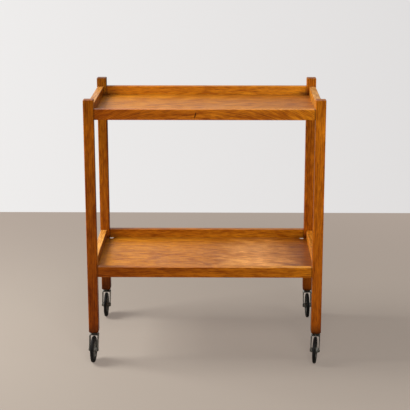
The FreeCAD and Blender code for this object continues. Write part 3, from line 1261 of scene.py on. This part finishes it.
@dataclass
class Caster:
    """One swivel caster."""

    corner: Corner
    groups: EffectGroups
    finishes: tuple[tuple[str, MetalFinish | RubberFinish], ...] = (
        # Painted shade: the socket and the washer take the darkened steel.
        ("socket", SHADED_STEEL),
        ("washer", SHADED_STEEL),
        ("stem", PLATED_STEEL),
        ("grip_ring", PLATED_STEEL),
        ("fork", FORK_STEEL),
        ("axle", FORK_STEEL),
        ("wheel_disc", WHEEL_GREY),
        ("tyre", TYRE_RUBBER),
    )

    def build(self) -> None:
        """Dress the caster's pieces."""
        for piece, finish in self.finishes:
            label = f"caster_{self.corner.value}_{piece}"
            dress(label, finish.surface(self.groups, label))


@dataclass(frozen=True)
class Lamp:
    """A soft square lamp: where it hangs, its side, its watts and whether gloss mirrors it."""

    name: str
    spot: Triple
    side: float
    power: float
    mirrored: bool = True

    def hang(self, aim: Triple) -> None:
        """Hang the lamp.

        Args:
            aim: the point that it faces.
        """
        data = bpy.data.lights.new(self.name, "AREA")
        data.shape = "SQUARE"
        data.size = self.side
        data.energy = self.power
        lamp = bpy.data.objects.new(self.name, data)
        lamp.location = self.spot
        lamp.visible_glossy = self.mirrored
        lamp.rotation_euler = (Vector(aim) - Vector(self.spot)).to_track_quat("-Z", "Y").to_euler()
        bpy.context.scene.collection.objects.link(lamp)


@dataclass
class Studio:
    """The pale floor, the lamps and the light all round."""

    floor_front: float = -6.0
    floor_back: float = 1.415
    floor_half: float = 6.0
    floor_tone: Colour = (0.30, 0.262, 0.218)
    floor_roughness: float = 0.6
    floor_specular: float = 0.1
    far_tone: Colour = (0.52, 0.43, 0.37)
    floor_fade: Span = (0.6, 2.6)
    floor_lift: float = 0.42
    wall_left: Colour = (0.865, 0.850, 0.842)
    wall_right: Colour = (0.745, 0.730, 0.726)
    wall_turn: Span = (-0.2, 0.16)
    wall_start: Span = (-0.35, 0.45)
    gloss_left: Colour = (1.0, 0.985, 0.978)
    gloss_right: Colour = (0.148, 0.145, 0.144)
    gloss_turn: Span = (-0.25, 0.25)
    gloss_floor: float = 0.22
    skyline: Span = (-0.04, 0.04)
    room_tone: Colour = (0.06, 0.06, 0.06)
    wall_fill: Colour = (0.18, 0.18, 0.18)
    room_fill: Colour = (0.05, 0.05, 0.05)
    aim: Triple = (0.0, 0.0, 0.45)
    lamps: tuple[Lamp, ...] = (
        Lamp("key_light", (-1.8, 0.1, 2.0), 1.0, 62.0),
        Lamp("window_light", (-1.75, 0.0, 0.95), 0.9, 30.0, mirrored=False),
        Lamp("front_light", (0.3, -2.3, 1.9), 1.0, 43.0),
        Lamp("right_light", (1.6, -0.6, 1.6), 0.7, 5.0),
    )

    def build(self) -> None:
        """Make the floor, the lamps and the world."""
        self._floor()
        for lamp in self.lamps:
            lamp.hang(self.aim)
        self._world()

    def _floor(self) -> None:
        """Lay the plain floor."""
        mesh = bpy.data.meshes.new("floor")
        shape = bmesh.new()
        left, right = -self.floor_half, self.floor_half
        front, back = self.floor_front, self.floor_back
        corners = ((left, front), (right, front), (right, back), (left, back))
        shape.faces.new([shape.verts.new((x, y, 0.0)) for x, y in corners])
        shape.to_mesh(mesh)
        shape.free()
        floor = bpy.data.objects.new("floor", mesh)
        bpy.context.scene.collection.objects.link(floor)
        mesh.materials.append(self._floor_surface())

    def _floor_surface(self) -> Material:
        """Make the floor's finish, whose far part the camera sees in one even tone.

        Returns:
            The material.
        """
        material, graph, shader = new_surface("floor_stone")
        graph.feed(shader, "Base Color", self.floor_tone)
        graph.feed(shader, "Roughness", self.floor_roughness)
        graph.feed(shader, "Specular IOR Level", self.floor_specular)
        away = graph.measure("LENGTH", graph.add("ShaderNodeTexCoord").outputs["Object"])
        far = graph.span(away, *self.floor_fade, self.floor_lift, 1.0)
        seen = graph.times(far, graph.add("ShaderNodeLightPath").outputs["Is Camera Ray"])
        pale = graph.add("ShaderNodeEmission")
        graph.feed(pale, "Color", self.far_tone)
        both = graph.add("ShaderNodeMixShader")
        for key, source in enumerate((seen, shader.outputs[0], pale.outputs[0])):
            graph.feed(both, key, source)
        graph.feed(graph.tree.nodes["Material Output"], "Surface", both.outputs[0])
        return material

    def _world(self) -> None:
        """Light the scene softly, from a pale wall behind and a dimmer room in front."""
        world = bpy.data.worlds.new("studio")
        world.use_nodes = True
        world.node_tree.nodes.clear()
        graph = Graph(world.node_tree)
        x, y, z = graph.split(graph.add("ShaderNodeTexCoord").outputs["Generated"])
        behind = graph.span(y, *self.wall_start)
        room = graph.mix(behind, self.room_fill, self.wall_fill)
        gloss = graph.mix(graph.span(x, *self.gloss_turn), self.gloss_left, self.gloss_right)
        level = graph.span(z, *self.skyline, self.gloss_floor, 1.0)
        gloss = graph.mix(behind, self.room_tone, graph.mix(1.0, gloss, level, "MULTIPLY"))
        wall = graph.mix(graph.span(x, *self.wall_turn), self.wall_left, self.wall_right)
        rays = graph.add("ShaderNodeLightPath").outputs
        sharp = graph.maths("ADD", rays["Is Glossy Ray"], rays["Is Transmission Ray"], clamp=True)
        colour = graph.mix(sharp, room, gloss)
        colour = graph.mix(rays["Is Camera Ray"], colour, wall)
        light = graph.add("ShaderNodeBackground")
        graph.feed(light, "Color", colour)
        output = graph.add("ShaderNodeOutputWorld")
        graph.feed(output, "Surface", light.outputs[0])
        bpy.context.scene.world = world


@dataclass
class Viewpoint:
    """The camera, at the photograph's place: its turns in degrees, its lens in millimetres."""

    spot: Triple = (0.0528, -3.4150, 1.3161)
    tilt: float = 75.111
    turn: float = 0.907
    roll: float = -0.085
    lens: float = 107.71
    sensor: float = 36.0

    def build(self) -> None:
        """Make the camera and look through it."""
        data = bpy.data.cameras.new("camera")
        data.lens = self.lens
        data.sensor_width = self.sensor
        camera = bpy.data.objects.new("camera", data)
        camera.location = self.spot
        aim = Euler((math.radians(self.tilt), 0.0, math.radians(self.turn))).to_matrix()
        camera.rotation_euler = (aim @ Matrix.Rotation(math.radians(self.roll), 3, "Z")).to_euler()
        bpy.context.scene.collection.objects.link(camera)
        bpy.context.scene.camera = camera


def main() -> None:
    """Build the trolley's looks, the studio and the camera."""
    logging.basicConfig(level=logging.INFO, format="%(message)s")
    bpy.context.scene.view_settings.view_transform = "Standard"
    groups = EffectGroups()
    Legs(groups).build()
    Tray(
        Tier.UPPER, groups, 0.0, UPPER_TONES, UPPER_VENEER, BOLD_VENEER,
        nook_shade=0.9, front_bow=0.9, knots=(Knot(x=-0.0245, z=0.7048, length=0.022),),
    ).build()
    Tray(
        Tier.LOWER, groups, 1.7, LOWER_TONES, LOWER_VENEER,
        # The lower panel's painted pool of light.
        seam=Seam(x=-0.006), light_pool=LightPool(x=0.150, y=-0.07, reach=0.125),
    ).build()
    for corner in Corner:
        Caster(corner, groups).build()
    Studio().build()
    Viewpoint().build()


if __name__ == "__main__":
    main()
